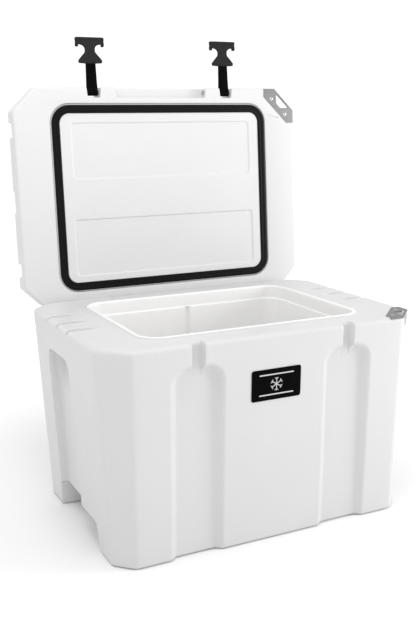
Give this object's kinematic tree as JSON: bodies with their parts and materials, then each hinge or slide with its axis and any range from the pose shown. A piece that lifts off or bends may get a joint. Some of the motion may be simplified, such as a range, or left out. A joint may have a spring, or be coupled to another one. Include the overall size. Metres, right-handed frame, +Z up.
{
  "type": "cooler chest",
  "caption": "Rotomoulded insulated cooler chest with an open hinged lid, rubber T-latches, steel lock plates and a drain plug.",
  "frame": {"origin": "on the ground, under the middle of the open chest's bounding box", "axes": "+X to the chest's right as seen from its front, +Y to its back (hinge side), +Z up"},
  "size_m": [0.68, 0.5604, 0.9694],
  "materials": {
    "white_shell": "satin white rotomoulded polyethylene with a fine orange-peel texture",
    "white_liner": "satin white polyethylene",
    "foam": "matt rigid polyurethane foam",
    "black_rubber": "satin black moulded rubber",
    "grey_rubber": "matt dark grey rubber",
    "brushed_steel": "brushed stainless sheet",
    "polished_steel": "bright stainless turned parts",
    "badge": "semi-gloss black plate with light grey print",
    "nylon": "natural nylon"
  },
  "bodies": {
    "tub": {"tub_outer_skin": "white_shell", "tub_liner": "white_liner", "tub_foam": "foam", "tub_lock_plate": "brushed_steel", "tub_plate_screw_1": "polished_steel", "tub_plate_screw_2": "polished_steel", "badge_plate": "badge", "foot_pad_front_left": "grey_rubber", "foot_pad_front_right": "grey_rubber", "foot_pad_back_left": "grey_rubber", "foot_pad_back_right": "grey_rubber", "tub_fill_plug": "white_shell", "drain_bushing": "nylon", "hinge_rod_left": "polished_steel", "hinge_rod_right": "polished_steel"},
    "lid": {"lid_top_skin": "white_shell", "lid_inner_skin": "white_shell", "lid_foam": "foam", "lid_gasket": "black_rubber", "lid_lock_plate": "brushed_steel", "lid_plate_screw_1": "polished_steel", "lid_plate_screw_2": "polished_steel", "lid_fill_plug": "white_shell", "hinge_bush_left": "nylon", "hinge_bush_right": "nylon", "latch_pin_left": "polished_steel", "latch_pin_right": "polished_steel"},
    "latch_left": {"latch_left": "black_rubber"},
    "latch_right": {"latch_right": "black_rubber"},
    "drain_carrier": {"drain_ring": "grey_rubber", "drain_seal": "black_rubber"},
    "drain_plug": {"drain_plug": "white_shell"}
  },
  "joints": [
    {"name": "lid_hinge", "type": "hinge", "parent": "tub", "child": "lid", "pos_m": [0, 0.18479, 0.4023], "axis": [1, 0, 0], "range_deg": [0, 94]},
    {"name": "latch_left_pivot", "type": "hinge", "parent": "lid", "child": "latch_left", "pos_m": [-0.16, 0.24216, 0.8544], "axis": [1, 0, 0], "range_deg": [-88, 77]},
    {"name": "latch_right_pivot", "type": "hinge", "parent": "lid", "child": "latch_right", "pos_m": [0.16, 0.24216, 0.8544], "axis": [1, 0, 0], "range_deg": [-88, 77]},
    {"name": "drain_travel", "type": "slide", "parent": "tub", "child": "drain_carrier", "axis": [1, 0, 0], "range_m": [0, 0.009]},
    {"name": "drain_turn", "type": "hinge", "parent": "drain_carrier", "child": "drain_plug", "pos_m": [0.31, -0.12271, 0.074], "axis": [1, 0, 0], "range_deg": [0, 1080]}
  ],
  "couplings": [
    {"joint": "drain_travel", "follows": "drain_turn", "m_per_rad": 0.00047746}
  ]
}
